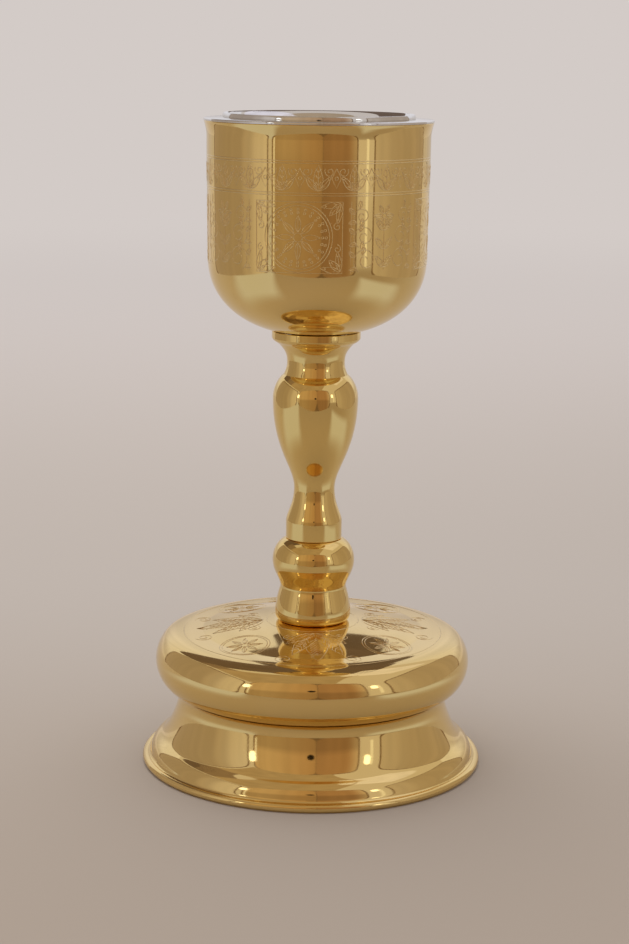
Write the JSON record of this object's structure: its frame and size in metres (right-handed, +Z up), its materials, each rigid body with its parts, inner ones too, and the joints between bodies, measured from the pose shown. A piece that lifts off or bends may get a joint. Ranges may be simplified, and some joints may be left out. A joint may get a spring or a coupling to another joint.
{
  "type": "chalice",
  "caption": "Footed drinking cup on a turned baluster stem, with a round two-shell foot and a loose inner drinking bowl that lifts out.",
  "frame": {"origin": "centre of the flat ring that the foot stands on", "axes": "+Z up along the axis of the cup and stem, front towards -Y"},
  "size_m": [0.1336, 0.1336, 0.2529],
  "materials": {
    "gilt": "gilt over brass, mirror polished",
    "silver": "silver plated, mirror polished",
    "raw_brass": "turned, unplated",
    "steel": "drawn rod, oiled"
  },
  "bodies": {
    "chalice": {"foot_rim_ring": "gilt", "foot_flare": "gilt", "foot_dome": "gilt", "lower_knop": "gilt", "baluster": "gilt", "stem_collar": "gilt", "cup": "gilt", "cup_boss": "raw_brass", "tie_rod": "steel", "spreader_plate": "raw_brass", "spring_washer": "steel", "tie_nut": "raw_brass"},
    "drinking_bowl": {"liner_bowl": "silver", "liner_flange": "silver"}
  },
  "joints": [
    {"name": "bowl_lift", "type": "slide", "parent": "chalice", "child": "drinking_bowl", "axis": [0, 0, 1], "range_m": [0, 0.085]}
  ]
}
